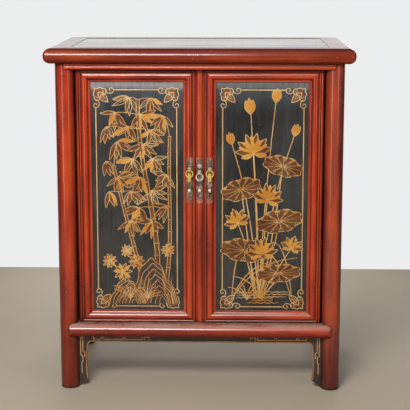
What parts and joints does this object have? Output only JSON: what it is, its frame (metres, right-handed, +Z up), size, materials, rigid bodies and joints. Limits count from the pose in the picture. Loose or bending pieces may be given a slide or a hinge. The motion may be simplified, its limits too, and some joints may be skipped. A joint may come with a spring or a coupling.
{
  "type": "cabinet on stand",
  "caption": "Round-leg lacquered cabinet with pivot-hung panelled doors, loose centre stile, brass strip fittings, bullnosed top and spandrelled aprons.",
  "frame": {"origin": "middle of the footprint, on the floor", "axes": "+Z up, the doors face -Y, +X to the right of someone who faces the doors"},
  "size_m": [0.84, 0.51, 0.962],
  "materials": {
    "red_lacquer": "worn satin lacquer",
    "worn_lacquer": "worn lacquer",
    "black_lacquer": "satin black lacquer",
    "inner_wood": "bare wood",
    "aged_brass": "dull, scratched",
    "dark_brass": "dull",
    "bright_brass": "polished by use"
  },
  "bodies": {
    "cabinet": {"back_apron": "black_lacquer", "back_lower_rail": "black_lacquer", "back_muntin": "black_lacquer", "back_panel_left": "black_lacquer", "back_panel_right": "black_lacquer", "back_top_rail": "black_lacquer", "floor_board": "inner_wood", "front_apron": "black_lacquer", "front_lintel": "red_lacquer", "front_sill_rail": "red_lacquer", "front_spandrel_left": "black_lacquer", "front_spandrel_right": "black_lacquer", "leg_back_left": "red_lacquer", "leg_back_right": "red_lacquer", "leg_front_left": "red_lacquer", "leg_front_right": "red_lacquer", "shelf_bearers": "inner_wood", "shelf_board": "inner_wood", "side_aprons": "black_lacquer", "side_battens": "inner_wood", "side_lower_rail_left": "red_lacquer", "side_lower_rail_right": "red_lacquer", "side_panel_left": "black_lacquer", "side_panel_right": "black_lacquer", "side_spandrels": "black_lacquer", "side_top_rail_left": "red_lacquer", "side_top_rail_right": "red_lacquer", "top_battens": "inner_wood", "top_frame_back": "red_lacquer", "top_frame_front": "red_lacquer", "top_frame_left": "red_lacquer", "top_frame_right": "red_lacquer", "top_panel_back_board": "worn_lacquer", "top_panel_front_board": "worn_lacquer"},
    "left_door": {"door_left_battens": "inner_wood", "door_left_bottom_rail": "red_lacquer", "door_left_hinge_stile": "red_lacquer", "door_left_meeting_stile": "red_lacquer", "door_left_panel": "black_lacquer", "door_left_top_rail": "red_lacquer", "lock_plate_left": "aged_brass", "plate_fittings_left": "dark_brass"},
    "right_door": {"door_right_battens": "inner_wood", "door_right_bottom_rail": "red_lacquer", "door_right_hinge_stile": "red_lacquer", "door_right_meeting_stile": "red_lacquer", "door_right_panel": "black_lacquer", "door_right_top_rail": "red_lacquer", "lock_plate_right": "aged_brass", "plate_fittings_right": "dark_brass"},
    "centre_stile": {"centre_stile": "red_lacquer", "lock_plate_centre": "aged_brass", "plate_fittings_centre": "dark_brass"},
    "left_pull": {"door_pull_left": "bright_brass"},
    "right_pull": {"door_pull_right": "bright_brass"},
    "centre_pull": {"centre_pull": "bright_brass"}
  },
  "joints": [
    {"name": "left_door_hinge", "type": "hinge", "parent": "cabinet", "child": "left_door", "pos_m": [-0.3295, -0.199, 0.55], "axis": [0, 0, -1], "range_deg": [0, 95]},
    {"name": "right_door_hinge", "type": "hinge", "parent": "cabinet", "child": "right_door", "pos_m": [0.3295, -0.199, 0.55], "axis": [0, 0, 1], "range_deg": [0, 95]},
    {"name": "centre_stile_lift", "type": "slide", "parent": "cabinet", "child": "centre_stile", "axis": [0, 0, 1], "range_m": [0, 0.012]},
    {"name": "left_pull_swing", "type": "hinge", "parent": "left_door", "child": "left_pull", "pos_m": [-0.028, -0.2159, 0.632], "axis": [-1, 0, 0], "range_deg": [0, 120]},
    {"name": "right_pull_swing", "type": "hinge", "parent": "right_door", "child": "right_pull", "pos_m": [0.028, -0.2159, 0.632], "axis": [-1, 0, 0], "range_deg": [0, 120]},
    {"name": "centre_pull_swing", "type": "hinge", "parent": "centre_stile", "child": "centre_pull", "pos_m": [0, -0.2144, 0.624], "axis": [-1, 0, 0], "range_deg": [0, 120]}
  ]
}
